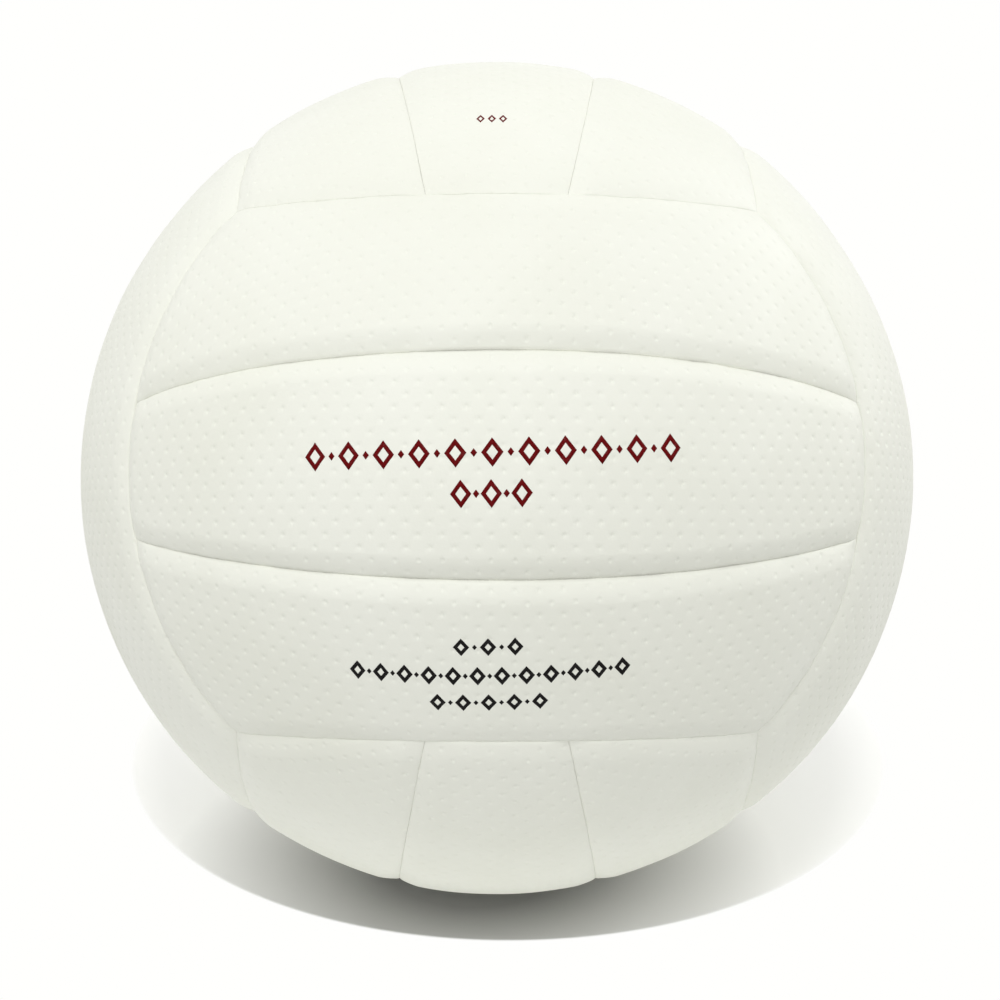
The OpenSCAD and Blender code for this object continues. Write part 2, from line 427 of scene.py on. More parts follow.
def press_dimples(sheet, cover, cell_across, cell_along):
    """Presses a round dimple into every other cell of a flat grid."""
    dimples = []
    for face in sheet.faces:
        middle = face.calc_center_median()
        cell = math.floor(middle.x / cell_across) + math.floor(middle.y / cell_along)
        if cell % 2 == 0:
            dimples.append(face)
    bmesh.ops.bisect_edges(sheet, edges=sheet.edges[:], cuts=1)
    for radius_share, depth_share in DIMPLE_RINGS:
        # The inset only makes a ring. Its corners are put in place below.
        bmesh.ops.inset_individual(
            sheet, faces=dimples, thickness=cover.dimple_r / 4, use_even_offset=True
        )
        for face in dimples:
            middle = face.calc_center_median()
            for vert in face.verts:
                spoke = vert.co - middle
                spoke.z = 0
                vert.co = middle + spoke.normalized() * cover.dimple_r * radius_share
                vert.co.z = -cover.dimple_depth * depth_share
    for vert in bmesh.ops.poke(sheet, faces=dimples)["verts"]:
        vert.co.z = -cover.dimple_depth


def bisect(bm, normal, latitude, clear):
    bmesh.ops.bisect_plane(
        bm,
        geom=bm.verts[:] + bm.edges[:] + bm.faces[:],
        dist=SNAP,
        plane_co=normal * BALL_R * math.sin(latitude),
        plane_no=normal,
        clear_outer=clear,
    )


def roll_share(cover, seam, direction):
    """How far the edge beside a seam has rolled: 0 inside the panel, and 1 at the seam."""
    reach = max(-1.0, min(1.0, seam.normal.dot(direction)))
    arc = max(0.0, (seam.latitude - math.asin(reach)) * BALL_R)
    wide = max(0.0, 1 - arc / seam.roll) ** cover.roll_power
    sharp = max(0.0, 1 - arc / cover.fold) ** 2
    return wide + (sharp - wide) * cover.fold_share


def laid_panel(cover, kind, dimpled, top_r, side):
    """Surface of a panel about +Z. It stops short of its seams by side."""
    axes = sheet_axes(cover, kind)
    half_along = TRIM_SHARE * (math.pi / 2 - GROUP_LATITUDE) * BALL_R
    cell = (PLAIN_CELL, PLAIN_CELL)
    if dimpled:
        cell = (cover.row_pitch, cover.dimple_pitch / 2)
    panel = sheet_grid(HALF_WIDTHS[kind], half_along, *cell)
    rims = panel_rims(cover, kind)
    hole_r = cover.valve_hole_r + side
    reach = hole_r + cover.valve_roll + math.hypot(*cell)
    if rims:
        clear_middle(panel, reach)
    if dimpled:
        press_dimples(panel, cover, *cell)
    if rims:
        round_opening(panel, reach + math.hypot(*cell), hole_r, cover.valve_roll)
    for vert in panel.verts:
        vert.co = on_ball(axes, vert.co.x, vert.co.y, top_r + vert.co.z)
    # The seams are cut at the ball's own size, where their planes are.
    full_size = Matrix.Scale(BALL_R / top_r, 4)
    bmesh.ops.transform(panel, matrix=full_size, verts=panel.verts[:])
    for seam in panel_seams(cover, kind):
        bisect(panel, seam.normal, seam.latitude - side / BALL_R, True)
        for step in ROLL_STEPS:
            inward = (side + step * seam.roll) / BALL_R
            bisect(panel, seam.normal, seam.latitude - inward, False)
    bmesh.ops.transform(panel, matrix=full_size.inverted(), verts=panel.verts[:])
    return panel


def mark_edges(panel, cover, kind):
    """Notes at each point how far it has rolled into a seam, and how deep it drops there."""
    seams = panel_seams(cover, kind)
    rims = panel_rims(cover, kind)
    rolled = panel.verts.layers.float.new(SEAM_LAYER)
    dropped = panel.verts.layers.float.new(DROP_LAYER)
    for vert in panel.verts:
        direction = vert.co.normalized()
        edge = sorted(roll_share(cover, seam, direction) for seam in seams)
        flat = (1 - edge[0]) * (1 - edge[1]) * (1 - edge[2])
        vert[rolled] = 1 - flat
        vert[dropped] = cover.seam_drop * (1 - flat) + cover.corner_drop * edge[1] * edge[2]
        for rim in rims:
            turned = roll_share(cover, rim, direction)
            vert[rolled] = max(vert[rolled], turned)
            vert[dropped] += cover.valve_drop * turned


def shell(panel, thickness, base_r=None):
    """Gives a panel's surface its thickness, after its edges are turned down to base_r."""
    if base_r is not None:
        edges = [edge for edge in panel.edges if edge.is_boundary]
        turned = bmesh.ops.extrude_edge_only(panel, edges=edges)["geom"]
        for vert in turned:
            if isinstance(vert, bmesh.types.BMVert):
                vert.co = vert.co.normalized() * base_r
    bmesh.ops.triangulate(panel, faces=panel.faces[:])
    bmesh.ops.recalc_face_normals(panel, faces=panel.faces[:])
    bmesh.ops.solidify(panel, geom=panel.faces[:], thickness=thickness)


def ripples_at(points, kind, offset=0):
    """Height of a smooth pattern, the same for any panel at the same place."""
    chance = np.random.default_rng(kind.seed + offset)
    total = np.zeros(len(points))
    for _ in range(WAVES_IN_RIPPLES):
        way = chance.normal(size=3)
        way *= math.tau / kind.length / np.linalg.norm(way)
        total += np.sin(points @ way + chance.uniform(0, math.tau))
    return kind.height * (total / (WAVES_IN_RIPPLES / 2))


def settle(mesh, cover):
    """Drops a mesh's edges into their seams and makes its surface a little uneven.

    The layers are squeezed together, so a point moves by its share of the height above the carcass.
    """
    points = np.zeros(len(mesh.vertices) * 3)
    mesh.vertices.foreach_get("co", points)
    points = points.reshape(-1, 3)
    radii = np.linalg.norm(points, axis=1)
    base_r = CARCASS_R + cover.glue_gap
    height = np.maximum(0, radii - base_r) / (BALL_R - base_r)
    drop = np.zeros(len(points))
    mesh.attributes[DROP_LAYER].data.foreach_get("value", drop)
    mesh.attributes.remove(mesh.attributes[DROP_LAYER])
    tension = ripples_at(points, TENSION)
    uneven = sum(ripples_at(points, kind) for kind in PUCKERS)
    drop *= np.maximum(LEAST_DEPTH, 1 + cover.slack * tension + cover.pucker * uneven)
    # The seam attribute becomes the weight of the painted shade in the seams, darker where a seam
    # is tauter and so deeper.
    rolled = np.zeros(len(points))
    mesh.attributes[SEAM_LAYER].data.foreach_get("value", rolled)
    rolled *= np.clip(CREASE_SHADE_MEAN + CREASE_SHADE_CHANGE * tension, 0, 1)
    mesh.attributes[SEAM_LAYER].data.foreach_set("value", rolled)
    moved = points * (1 - height * drop / radii)[:, None]
    for axis in range(3):
        sway = sum(ripples_at(points, kind, axis) for kind in SWAYS)
        moved[:, axis] += cover.sway * height * sway
    mesh.vertices.foreach_set("co", moved.ravel())
    mesh.update()


def to_mesh(bm, name):
    """Turns a bmesh into a mesh and frees it."""
    mesh = bpy.data.meshes.new(name)
    bm.to_mesh(mesh)
    bm.free()
    return mesh


def add_object(name, data):
    """Puts a mesh, a lamp or a camera into the scene."""
    new = bpy.data.objects.new(name, data)
    bpy.context.scene.collection.objects.link(new)
    return new


def smooth_piece(name, mesh, material):
    """Makes a mesh a smooth object that rides on the part."""
    mesh.name = name
    mesh.shade_smooth()
    mesh.materials.append(material)
    piece = add_object(name, mesh)
    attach(piece, "root")
    return piece


def place_panel(name, mesh, matrix, cover, material):
    """Carries a panel's mesh from +Z to its own place and settles it on the ball."""
    mesh.transform(matrix)
    settle(mesh, cover)
    return smooth_piece(name, mesh, material)


def empty_tree(owner):
    """The emptied node tree of a new material or world."""
    owner.use_nodes = True
    owner.node_tree.nodes.clear()
    return owner.node_tree


def feed(tree, socket, value):
    """Links an input to another node's output, or sets its value."""
    if isinstance(value, bpy.types.NodeSocket):
        tree.links.new(value, socket)
    elif socket.type == "RGBA":
        socket.default_value = (*value, 1)
    else:
        socket.default_value = value


def add_node(tree, kind, label="", **inputs):
    """Adds a node and feeds its inputs, with underscores for the spaces in their names."""
    node = tree.nodes.new(kind)
    node.label = label
    for name, value in inputs.items():
        feed(tree, node.inputs[name.replace("_", " ")], value)
    return node


def attribute(tree, layer, label):
    node = add_node(tree, "ShaderNodeAttribute", label)
    node.attribute_name = layer
    return node.outputs["Fac"]


def mix_values(tree, factor, first, second):
    node = add_node(tree, "ShaderNodeMix", Factor=factor, A=first, B=second)
    return node.outputs["Result"]


def mix_colours(tree, factor, first, second):
    node = tree.nodes.new("ShaderNodeMix")
    node.data_type = "RGBA"
    feed(tree, node.inputs["Factor"], factor)
    feed(tree, node.inputs[6], first)
    feed(tree, node.inputs[7], second)
    return node.outputs[2]


def mix_shaders(tree, factor, first, second):
    node = add_node(tree, "ShaderNodeMixShader", Fac=factor)
    feed(tree, node.inputs[1], first)
    feed(tree, node.inputs[2], second)
    return node.outputs["Shader"]


def calculated(tree, operation, first, second):
    node = tree.nodes.new("ShaderNodeMath")
    node.operation = operation
    feed(tree, node.inputs[0], first)
    feed(tree, node.inputs[1], second)
    return node.outputs["Value"]


def ranged(tree, value, low, high, to_low=0.0, to_high=1.0, smooth=False):
    """Maps value from low..high to to_low..to_high, held at both ends."""
    node = add_node(tree, "ShaderNodeMapRange", Value=value, From_Min=low, From_Max=high)
    node.inputs["To Min"].default_value = to_low
    node.inputs["To Max"].default_value = to_high
    if smooth:
        node.interpolation_type = "SMOOTHSTEP"
    return node.outputs["Result"]


def noise(tree, label, place, scale, detail, roughness=0.5):
    node = add_node(tree, "ShaderNodeTexNoise", label, Vector=place, Scale=scale, Detail=detail)
    node.inputs["Roughness"].default_value = roughness
    return node.outputs["Fac"]


def grain_group():
    """Group that makes a pebbled grain and a slow drift from a point on the surface."""
    group = bpy.data.node_groups.get("Grain and drift")
    if group:
        return group
    group = bpy.data.node_groups.new("Grain and drift", "ShaderNodeTree")
    face = group.interface
    face.new_socket("Vector", in_out="INPUT", socket_type="NodeSocketVector")
    for name in ("Grain scale", "Fine share", "Drift scale"):
        face.new_socket(name, in_out="INPUT", socket_type="NodeSocketFloat")
    face.new_socket("Height", in_out="OUTPUT", socket_type="NodeSocketFloat")
    face.new_socket("Drift", in_out="OUTPUT", socket_type="NodeSocketFloat")
    entry = group.nodes.new("NodeGroupInput").outputs
    place = entry["Vector"]
    scale = entry["Grain scale"]
    pebbles = add_node(group, "ShaderNodeTexVoronoi", "Pebbles", Vector=place, Scale=scale)
    pebbles.feature = "SMOOTH_F1"
    pebbles.inputs["Smoothness"].default_value = 0.6
    creases = noise(group, "Creases", place, scale, 3.0, 0.6)
    drift = noise(group, "Drift", place, entry["Drift scale"], 3.0, 0.55)
    height = mix_values(group, entry["Fine share"], pebbles.outputs["Distance"], creases)
    add_node(group, "NodeGroupOutput", Height=height, Drift=drift)
    return group


def start_material(name, roughness, grain_scale, fine_share, drift_scale, gloss=0.5):
    """New material with the shared grain group placed in it."""
    material = bpy.data.materials.new(name)
    tree = empty_tree(material)
    surface = add_node(
        tree, "ShaderNodeBsdfPrincipled", Roughness=roughness, Specular_IOR_Level=gloss
    )
    add_node(tree, "ShaderNodeOutputMaterial", Surface=surface.outputs["BSDF"])
    place = tree.nodes.new("ShaderNodeTexCoord").outputs["Object"]
    grain = tree.nodes.new("ShaderNodeGroup")
    grain.node_tree = grain_group()
    for socket, value in zip(grain.inputs, (place, grain_scale, fine_share, drift_scale)):
        feed(tree, socket, value)
    height, drift = grain.outputs
    return Base(material, tree, surface, place, height, drift)


def finish_material(base, tint, bump, relief, rough=None):
    """Gives a new material its colour, its relief and, if given, two ends for its roughness."""
    inputs = base.surface.inputs
    feed(base.tree, inputs["Base Color"], tint)
    if rough:
        feed(base.tree, inputs["Roughness"], ranged(base.tree, base.drift, *ROUGH_DRIFT, *rough))
    node = add_node(
        base.tree, "ShaderNodeBump", Strength=bump, Distance=relief, Height=base.height
    )
    feed(base.tree, inputs["Normal"], node.outputs["Normal"])
    return base.material


def darker(tone, part):
    return [value * part for value in tone]


def paler(tone, factor, lift):
    return [min(1.0, value * factor + lift) for value in tone]


def leather_material(cover):
    """Soft white synthetic leather with a fine grain, with painted shade and a little grime down in
    the seams.
    """
    base = start_material(
        "White leather", roughness=0.5, grain_scale=1700, fine_share=0.4, drift_scale=22, gloss=0.6
    )
    tree = base.tree
    drift = ranged(tree, base.drift, 0.35, 0.75, to_high=0.5)
    aged = mix_colours(tree, drift, cover.leather, cover.leather_shade)
    # Painted shade down in the seams, partly grime, broken into patches by noise.
    depth = ranged(tree, attribute(tree, SEAM_LAYER, "Nearness to a seam"), 0.72, 1.0)
    patches = noise(tree, "Patches of painted shade and grime", base.place, scale=75.0, detail=2.0)
    shade_and_grime = ranged(tree, patches, 0.38, 0.62, to_high=0.8)
    tint = mix_colours(tree, calculated(tree, "MULTIPLY", depth, shade_and_grime), aged, cover.crease_shade)
    return finish_material(base, tint, bump=0.35, relief=0.05 * MM, rough=(0.44, 0.58))


def foam_material(cover):
    """Closed-cell foam, with painted shade in the hollows of its cells."""
    base = start_material(
        "Panel foam", roughness=0.9, grain_scale=900, fine_share=0.25, drift_scale=40
    )
    # Painted shade: darker where the grain's relief is low, in the hollows of the cells.
    tone = ranged(base.tree, base.height, 0.1, 0.7, to_low=0.6, to_high=0.0)
    tint = mix_colours(base.tree, tone, cover.foam, darker(cover.foam, 0.72))
    return finish_material(base, tint, bump=0.8, relief=0.3 * MM)


def ink_material(name, ink, worn):
    """Screen-printed ink that is a little thin in places."""
    base = start_material(
        name, roughness=0.5, grain_scale=2200, fine_share=0.6, drift_scale=700, gloss=0.06
    )
    thin = ranged(base.tree, base.drift, 0.58, 0.78, to_high=worn)
    tint = mix_colours(base.tree, thin, ink, paler(ink, 1, 0.16))
    return finish_material(base, tint, bump=0.25, relief=0.03 * MM, rough=(0.36, 0.5))


def rubber_material(rubber, tone):
    """Moulded rubber with a matt bloom."""
    base = start_material(
        f"{rubber.setting.capitalize()} rubber",
        rubber.roughness,
        rubber.grain_scale,
        fine_share=0.5,
        drift_scale=45,
    )
    bloom = ranged(base.tree, base.drift, 0.4, 0.8, to_high=0.5)
    tint = mix_colours(base.tree, bloom, tone, paler(tone, 1.3, 0.02))
    rough = (rubber.roughness - RUBBER_SPREAD, rubber.roughness + RUBBER_SPREAD)
    return finish_material(base, tint, bump=0.5, relief=rubber.relief, rough=rough)


def thread_material(layers):
    """Off-white nylon thread, with painted shade in the gaps between the turns."""
    base = start_material(
        "Wound thread", roughness=0.55, grain_scale=5200, fine_share=0.7, drift_scale=260
    )
    tree = base.tree
    tone = ranged(tree, base.drift, 0.35, 0.7, to_high=0.35)
    thread = mix_colours(tree, tone, layers.thread, darker(layers.thread, 0.86))
    # Painted shade in the gaps between the turns and on the layer under them.
    gap = attribute(tree, GAP_SHADE_LAYER, "Painted shade between the turns")
    tint = mix_colours(tree, gap, thread, darker(layers.thread, 0.45))
    return finish_material(base, tint, bump=0.4, relief=0.04 * MM, rough=(0.48, 0.66))


class VOLLEYBALL_OT_cover(bpy.types.Operator):
    """Make the eighteen leather panels of the cover"""

    bl_idname = "volleyball.make_cover"
    bl_label = "Leather panels"

    def execute(self, context):
        cover = context.scene.volleyball_cover
        material = leather_material(cover)
        meshes = {}
        for kind in (MIDDLE_PANEL, VALVE_PANEL, OUTER_PANEL):
            panel = laid_panel(cover, kind, True, BALL_R, cover.seam_gap / 2)
            shell(panel, cover.leather_t, CARCASS_R + cover.glue_gap)
            mark_edges(panel, cover, kind)
            meshes[kind] = to_mesh(panel, kind)
        for name, kind, matrix in all_panels():
            mesh = meshes[kind].copy()
            piece = place_panel(f"leather_{name}", mesh, matrix, cover, material)
            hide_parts(f"skin_{name}")
        for mesh in meshes.values():
            bpy.data.meshes.remove(mesh)
        return {"FINISHED"}


class VOLLEYBALL_OT_foam(bpy.types.Operator):
    """Make the foam backing behind each leather panel"""

    bl_idname = "volleyball.make_foam"
    bl_label = "Foam backings"

    def execute(self, context):
        cover = context.scene.volleyball_cover
        material = foam_material(cover)
        foam_r = BALL_R - cover.leather_t - cover.glue_gap
        side = cover.seam_gap / 2 + cover.leather_t + cover.glue_gap
        for name, kind, matrix in all_panels():
            panel = laid_panel(cover, kind, False, foam_r, side)
            shell(panel, cover.foam_t)
            mark_edges(panel, cover, kind)
            mesh = to_mesh(panel, name)
            piece = place_panel(f"foam_{name}", mesh, matrix, cover, material)
            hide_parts(f"pad_{name}")
        return {"FINISHED"}


# A row of hollow lozenges: its panel, where its middle lies on the sheet, the row's length, a
# lozenge's height and width, how many there are, the size of their hollow as a share of a whole
# one, and whether the row runs across the sheet.
Row = namedtuple("Row", "group place across along length height width count hollow crosswise")
RED_ROWS = (
    Row("front", "middle", -2.6 * MM, -1.0 * MM, 82.2 * MM, 6.2 * MM, 4.7 * MM, 11, 0.51, False),
    Row("front", "middle", 6.1 * MM, -1.4 * MM, 17.4 * MM, 6.1 * MM, 4.5 * MM, 3, 0.51, False),
    Row("top", "middle", -1.3 * MM, -74.4 * MM, 7.0 * MM, 3.4 * MM, 1.9 * MM, 3, 0.51, True),
)
BLACK_ROWS = (
    Row("front", "lower", -5.1 * MM, -1.7 * MM, 15.0 * MM, 4.1 * MM, 3.5 * MM, 3, 0.42, False),
    Row("front", "lower", 1.8 * MM, -1.5 * MM, 61.3 * MM, 4.5 * MM, 3.6 * MM, 12, 0.42, False),
    Row("front", "lower", 8.4 * MM, -1.9 * MM, 25.6 * MM, 4.2 * MM, 3.5 * MM, 5, 0.42, False),
)
# Size of the small lozenge between two whole ones, as a share of a whole one, and the least gap
# that has one.
BEAD = 0.3
BEAD_GAP = 1 * MM
# How much larger than its row the band is that a row is cut from.
BAND_SHARE = 2.2


def lozenge(row, place, size, slant):
    """Corners on the sheet of a lozenge at a place along its row."""
    tall = row.height / 2 * size
    wide = row.width / 2 * size
    corners = ((-tall, place), (0, place + wide), (tall, place), (0, place - wide))
    if row.crosswise:
        return [(row.across + along, row.along + across) for across, along in corners]
    turn = Matrix.Rotation(slant, 2)
    middle = Vector((row.across, row.along))
    return [turn @ (middle + Vector(corner)) for corner in corners]


def side_planes(axes, corners):
    """Outward normals of the planes through the ball's centre and the sides of an outline."""
    points = [on_ball(axes, *corner) for corner in corners]
    middle = sum(points, Vector())
    normals = []
    for start, end in zip(points, points[1:] + points[:1]):
        normal = start.cross(end).normalized()
        normals.append(-normal if normal.dot(middle) > 0 else normal)
    return normals


def cut_round(surface, normals):
    """Keeps the part of a surface that lies inside the planes."""
    for normal in normals:
        bisect(surface, normal, 0.0, True)


def pierce(surface, normals):
    """Takes out the part of a surface that lies inside the planes."""
    for normal in normals:
        bisect(surface, normal, 0.0, False)
    inside = []
    for face in surface.faces:
        middle = face.calc_center_median()
        if all(normal.dot(middle) < 0 for normal in normals):
            inside.append(face)
    bmesh.ops.delete(surface, geom=inside, context="FACES")


def printed_row(surface, axes, row, ink):
    """Thin film of ink on a panel's surface, in the shape of a row of lozenges."""
    step = (row.length - row.width) / (row.count - 1)
    starts = [-(row.length - row.width) / 2 + step * number for number in range(row.count)]
    shapes = [(start, 1.0) for start in starts]
    if step - row.width > BEAD_GAP:
        shapes += [(start + step / 2, BEAD) for start in starts[:-1]]
    band = surface.copy()
    reach = max(row.length, row.height) / row.width
    cut_round(band, side_planes(axes, lozenge(row, 0, BAND_SHARE * reach, ink.slant)))
    lift = Matrix.Scale(1 + ink.ink_t / BALL_R, 4)
    whole = bmesh.new()
    film = bpy.data.meshes.new("film")
    for place, size in shapes:
        one = band.copy()
        cut_round(one, side_planes(axes, lozenge(row, place, size, ink.slant)))
        if size > BEAD:
            pierce(one, side_planes(axes, lozenge(row, place, row.hollow, ink.slant)))
        bmesh.ops.transform(one, matrix=lift, verts=one.verts[:])
        shell(one, 2 * ink.ink_t)
        one.to_mesh(film)
        whole.from_mesh(film)
        one.free()
    band.free()
    bpy.data.meshes.remove(film)
    return whole


class VOLLEYBALL_OT_print(bpy.types.Operator):
    """Print the rows of plain ornaments on the cover"""

    bl_idname = "volleyball.make_print"
    bl_label = "Printed ornaments"

    def execute(self, context):
        cover = context.scene.volleyball_cover
        ink = context.scene.volleyball_print
        inks = (
            (RED_ROWS, ink_material("Dark red ink", ink.red, ink.worn), "red"),
            (BLACK_ROWS, ink_material("Black ink", ink.black, ink.worn), "black"),
        )
        matrices = {name: matrix for name, _, matrix in all_panels()}
        surfaces = {
            kind: laid_panel(cover, kind, True, BALL_R, cover.seam_gap / 2)
            for kind in (MIDDLE_PANEL, OUTER_PANEL)
        }
        for kind, surface in surfaces.items():
            mark_edges(surface, cover, kind)
        for rows, material, tone in inks:
            for number, row in enumerate(rows, 1):
                kind = MIDDLE_PANEL if row.place == "middle" else OUTER_PANEL
                axes = sheet_axes(cover, kind)
                name = f"print_{tone}_{number}"
                film = to_mesh(printed_row(surfaces[kind], axes, row, ink), name)
                matrix = matrices[f"{row.group}_{row.place}"]
                place_panel(name, film, matrix, cover, material)
        for surface in surfaces.values():
            surface.free()
        return {"FINISHED"}


def spin(outline, steps):
    """Turns an outline once round +Z."""
    bmesh.ops.spin(
        outline,
        geom=outline.verts[:] + outline.edges[:],
        axis=(0, 0, 1),
        cent=(0, 0, 0),
        angle=math.tau,
        steps=steps,
        use_merge=True,
    )


def spun_layer(outer_r, inner_r, hole_r):
    """Round hollow layer with a round opening about +Z."""
    layer = bmesh.new()
    start = math.asin(hole_r / outer_r)
    rows = []
    for radius in (outer_r, inner_r):
        row = []
        for step in range(WINDING_STEPS + 1):
            turn = start + (math.pi - start) * step / WINDING_STEPS
            row.append(layer.verts.new((radius * math.sin(turn), 0, radius * math.cos(turn))))
        rows.append(row)
        for first, second in zip(row, row[1:]):
            layer.edges.new((first, second))
    layer.edges.new((rows[0][0], rows[1][0]))
    spin(layer, 2 * WINDING_STEPS)
    bmesh.ops.remove_doubles(layer, verts=layer.verts[:], dist=SNAP)
    bmesh.ops.recalc_face_normals(layer, faces=layer.faces[:])
    return layer


def thread_ring(top_r, width, height):
    """One turn of thread round the ball's middle, pressed to a low ridge."""
    ring = bmesh.new()
    foot_r = top_r - height
    corners = ((top_r, 0, 0), (foot_r, 0, width / 2), (foot_r, 0, -width / 2))
    verts = [ring.verts.new(corner) for corner in corners]
    for number, vert in enumerate(verts):
        ring.edges.new((vert, verts[number - 1]))
    spin(ring, THREAD_STEPS)
    bmesh.ops.recalc_face_normals(ring, faces=ring.faces[:])
    # The foot of a turn takes the painted shade of the gaps.
    gap = ring.verts.layers.float.new(GAP_SHADE_LAYER)
    for vert in ring.verts:
        vert[gap] = 1.0 if vert.co.length < top_r - height / 2 else 0.0
    return ring


class VOLLEYBALL_OT_winding(bpy.types.Operator):
    """Wind the thread round the bladder in great circles that pass beside the valve"""

    bl_idname = "volleyball.make_winding"
    bl_label = "Wound thread"

    def execute(self, context):
        layers = context.scene.volleyball_layers
        top_r = outer_radius("winding")
        sunk = SUNK_SHARE * layers.thread_h
        whole = spun_layer(top_r - layers.thread_h, top_r - layers.winding_t, layers.flange_r)
        # The layer under the turns takes the painted shade all over.
        gap = whole.verts.layers.float.new(GAP_SHADE_LAYER)
        for vert in whole.verts:
            vert[gap] = 1.0
        ring = thread_ring(top_r, layers.thread_w, layers.thread_h + sunk)
        turn = bpy.data.meshes.new("turn")
        chance = np.random.default_rng(WINDING_SEED)
        lowest = (layers.flange_r + layers.thread_w) / top_r
        for _ in range(layers.turns):
            height = chance.uniform(lowest, 1)
            way = chance.uniform(0, math.tau)
            flat = math.sqrt(1 - height * height)
            axis = Vector((flat * math.cos(way), flat * math.sin(way), height))
            ring.to_mesh(turn)
            turn.transform(axis.to_track_quat("Z", "Y").to_matrix().to_4x4())
            turn.transform(Matrix.Scale(1 - sunk * chance.uniform() / top_r, 4))
            whole.from_mesh(turn)
        ring.free()
        bpy.data.meshes.remove(turn)
        mesh = to_mesh(whole, "winding")
        mesh.transform(VALVE_AXIS.to_track_quat("Z", "Y").to_matrix().to_4x4())
        piece = smooth_piece("thread_winding", mesh, thread_material(layers))
        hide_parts("winding")
        return {"FINISHED"}


def finish_rubber(rubber, layers):
    """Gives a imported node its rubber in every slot."""
    material = rubber_material(rubber, getattr(layers, rubber.setting))
    mesh = frame["nodes"][rubber.node].data
    if not mesh.materials:
        mesh.materials.append(material)
    for number in range(len(mesh.materials)):
        mesh.materials[number] = material


class VOLLEYBALL_OT_layers(bpy.types.Operator):
    """Finish the carcass, the bladder and the balance patch"""

    bl_idname = "volleyball.finish_layers"
    bl_label = "Inner layers"

    def execute(self, context):
        for rubber in INNER_RUBBERS:
            finish_rubber(rubber, context.scene.volleyball_layers)
        return {"FINISHED"}


class VOLLEYBALL_OT_valve(bpy.types.Operator):
    """Finish the valve's housing and core"""

    bl_idname = "volleyball.finish_valve"
    bl_label = "Valve"

    def execute(self, context):
        for rubber in VALVE_RUBBERS:
            finish_rubber(rubber, context.scene.volleyball_layers)
        return {"FINISHED"}


def seen_rays(tree):
    """1 for the camera's rays and for reflected and refracted ones, and 0 for light."""
    rays = tree.nodes.new("ShaderNodeLightPath").outputs
    mirrored = calculated(tree, "MAXIMUM", rays["Is Glossy Ray"], rays["Is Transmission Ray"])
    return calculated(tree, "MAXIMUM", rays["Is Camera Ray"], mirrored)


def distance_from(tree, place, point):
    node = tree.nodes.new("ShaderNodeVectorMath")
    node.operation = "DISTANCE"
    feed(tree, node.inputs[0], place)
    feed(tree, node.inputs[1], point)
    return node.outputs["Value"]


def floor_material(stage):
    """White paper that keeps the ball's shadow and is plain white round it. Near the ball the
    camera sees it painted darker, a painted shadow added to the real one.

    From below it can be seen through.
    """
    material = bpy.data.materials.new("White paper")
    tree = empty_tree(material)
    place = tree.nodes.new("ShaderNodeTexCoord").outputs["Object"]
    seen = seen_rays(tree)
    under_ball = distance_from(tree, place, (0, 0, -BALL_R))
    # The painted shadow is darkest round this point, a little left of and in front of the ball's
    # foot.
    darkest = (-stage.painted_shadow_left, -stage.painted_shadow_front, -BALL_R)
    from_painted_shadow = distance_from(tree, place, darkest)
    middle = (stage.shadow_right, stage.shadow_back, -BALL_R)
    shadow = distance_from(tree, place, middle)
    bounce = ranged(tree, under_ball, *BOUNCE_FADE, stage.floor_near, stage.floor_far, True)
    # Painted shadow: the albedo that the camera sees is darker near the ball.
    shown = ranged(tree, from_painted_shadow, *PAINTED_SHADOW_FADE, to_low=PAINTED_SHADOW_TONE)
    albedo = mix_values(tree, seen, bounce, shown)
    tint = mix_colours(tree, albedo, (0, 0, 0), stage.floor)
    paper = add_node(tree, "ShaderNodeBsdfDiffuse", Color=tint).outputs["BSDF"]
    white = add_node(tree, "ShaderNodeEmission", Color=stage.floor).outputs["Emission"]
    edge = [part * stage.shadow_r for part in EDGE_FADE]
    outside = ranged(tree, shadow, *edge, smooth=True)
    top = mix_shaders(tree, calculated(tree, "MULTIPLY", seen, outside), paper, white)
    below = tree.nodes.new("ShaderNodeNewGeometry").outputs["Backfacing"]
    clear = tree.nodes.new("ShaderNodeBsdfTransparent").outputs["BSDF"]
    add_node(tree, "ShaderNodeOutputMaterial", Surface=mix_shaders(tree, below, top, clear))
    return material


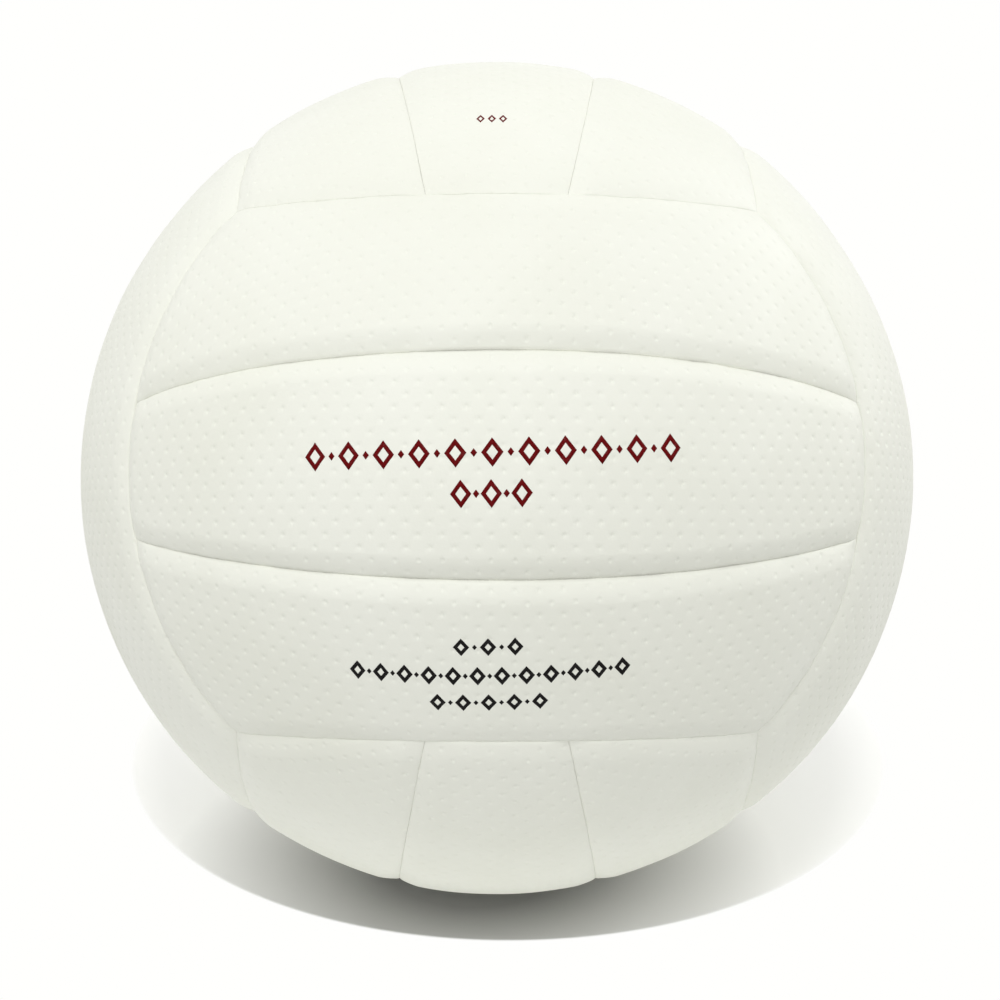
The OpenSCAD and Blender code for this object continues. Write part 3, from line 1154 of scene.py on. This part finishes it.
class VOLLEYBALL_OT_stage(bpy.types.Operator):
    """Set up the floor, the light and the camera"""

    bl_idname = "volleyball.make_stage"
    bl_label = "Studio"

    def execute(self, context):
        stage = context.scene.volleyball_stage
        self.make_floor(stage)
        self.make_fill(context, stage)
        self.make_lamps(stage)
        self.make_camera(context, stage)
        context.scene.view_settings.view_transform = "Standard"
        return {"FINISHED"}

    def make_floor(self, stage):
        disc = bmesh.new()
        bmesh.ops.create_circle(
            disc,
            cap_ends=True,
            segments=FLOOR_SEGMENTS,
            radius=stage.floor_r,
            matrix=Matrix.Translation((0, 0, -BALL_R)),
        )
        mesh = to_mesh(disc, "floor")
        mesh.materials.append(floor_material(stage))
        add_object("floor", mesh)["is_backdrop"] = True

    def make_fill(self, context, stage):
        """Even light from all round, stronger from the left. The camera sees plain white."""
        world = bpy.data.worlds.new("Studio")
        tree = empty_tree(world)
        around = tree.nodes.new("ShaderNodeTexCoord").outputs["Generated"]
        way = add_node(tree, "ShaderNodeSeparateXYZ", Vector=around)
        left = stage.fill * (1 + stage.fill_left)
        right = stage.fill * (1 - stage.fill_left)
        strength = ranged(tree, way.outputs["X"], -1, 1, left, right)
        shaders = []
        for value in (strength, 1.0):
            shader = add_node(tree, "ShaderNodeBackground", Color=(1, 1, 1), Strength=value)
            shaders.append(shader.outputs["Background"])
        surface = mix_shaders(tree, seen_rays(tree), *shaders)
        add_node(tree, "ShaderNodeOutputWorld", Surface=surface)
        context.scene.world = world

    def make_lamps(self, stage):
        lamps = (
            ("Key light", stage.sun, stage.sun_tilt, 0.0, stage.sun_size),
            ("Front light", stage.front, stage.front_tilt, 0.0, stage.front_size),
            ("Side light", stage.side, stage.side_tilt, stage.side_turn, stage.side_size),
        )
        for name, strength, tilt, turn, size in lamps:
            light = bpy.data.lights.new(name, "SUN")
            light.energy = strength
            light.angle = size
            add_object(name, light).rotation_euler = (tilt, 0, turn)

    def make_camera(self, context, stage):
        lens = bpy.data.cameras.new("Camera")
        lens.lens = stage.focal_length
        lens.sensor_width = SENSOR_WIDTH_MM
        lens.clip_start = NEAR_CLIP
        lens.clip_end = FAR_CLIP
        camera = add_object("Camera", lens)
        turn = Matrix.Rotation(math.pi / 2 - stage.elevation, 4, "X")
        place = turn @ Matrix.Translation((0, 0, stage.distance))
        target = turn @ Vector((stage.aim_right, -stage.aim_below, 0))
        camera.location = place.translation
        camera.rotation_mode = "QUATERNION"
        camera.rotation_quaternion = (target - camera.location).to_track_quat("-Z", "Y")
        context.scene.camera = camera


class VOLLEYBALL_PT_sidebar(bpy.types.Panel):
    """Sizes, colours and building steps of the volleyball"""

    bl_idname = "VOLLEYBALL_PT_sidebar"
    bl_label = "Volleyball"
    bl_space_type = "VIEW_3D"
    bl_region_type = "UI"
    bl_category = "Volleyball"

    def draw(self, context):
        for step in STEPS:
            self.layout.operator(step.bl_idname)
        for settings in SETTINGS:
            box = self.layout.box()
            group = getattr(context.scene, settings)
            for name in group.bl_rna.properties.keys():
                if name not in ("rna_type", "name"):
                    box.prop(group, name)


SETTINGS = {
    "volleyball_cover": CoverSettings,
    "volleyball_print": PrintSettings,
    "volleyball_layers": LayerSettings,
    "volleyball_stage": StageSettings,
}
STEPS = (
    VOLLEYBALL_OT_cover,
    VOLLEYBALL_OT_foam,
    VOLLEYBALL_OT_print,
    VOLLEYBALL_OT_winding,
    VOLLEYBALL_OT_layers,
    VOLLEYBALL_OT_valve,
    VOLLEYBALL_OT_stage,
)


def register():
    for cls in (*SETTINGS.values(), *STEPS, VOLLEYBALL_PT_sidebar):
        bpy.utils.register_class(cls)
    for name, cls in SETTINGS.items():
        setattr(bpy.types.Scene, name, bpy.props.PointerProperty(type=cls))


def unregister():
    for name in SETTINGS:
        delattr(bpy.types.Scene, name)
    for cls in (VOLLEYBALL_PT_sidebar, *STEPS, *SETTINGS.values()):
        bpy.utils.unregister_class(cls)


def main():
    register()
    bpy.ops.volleyball.make_cover()
    bpy.ops.volleyball.make_foam()
    bpy.ops.volleyball.make_print()
    bpy.ops.volleyball.make_winding()
    bpy.ops.volleyball.finish_layers()
    bpy.ops.volleyball.finish_valve()
    bpy.ops.volleyball.make_stage()
    boxes = {"cad": CAD_BOX, "visual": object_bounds()}
    {name: [list(corner) for corner in box] for name, box in boxes.items()}


if __name__ == "__main__":
    main()
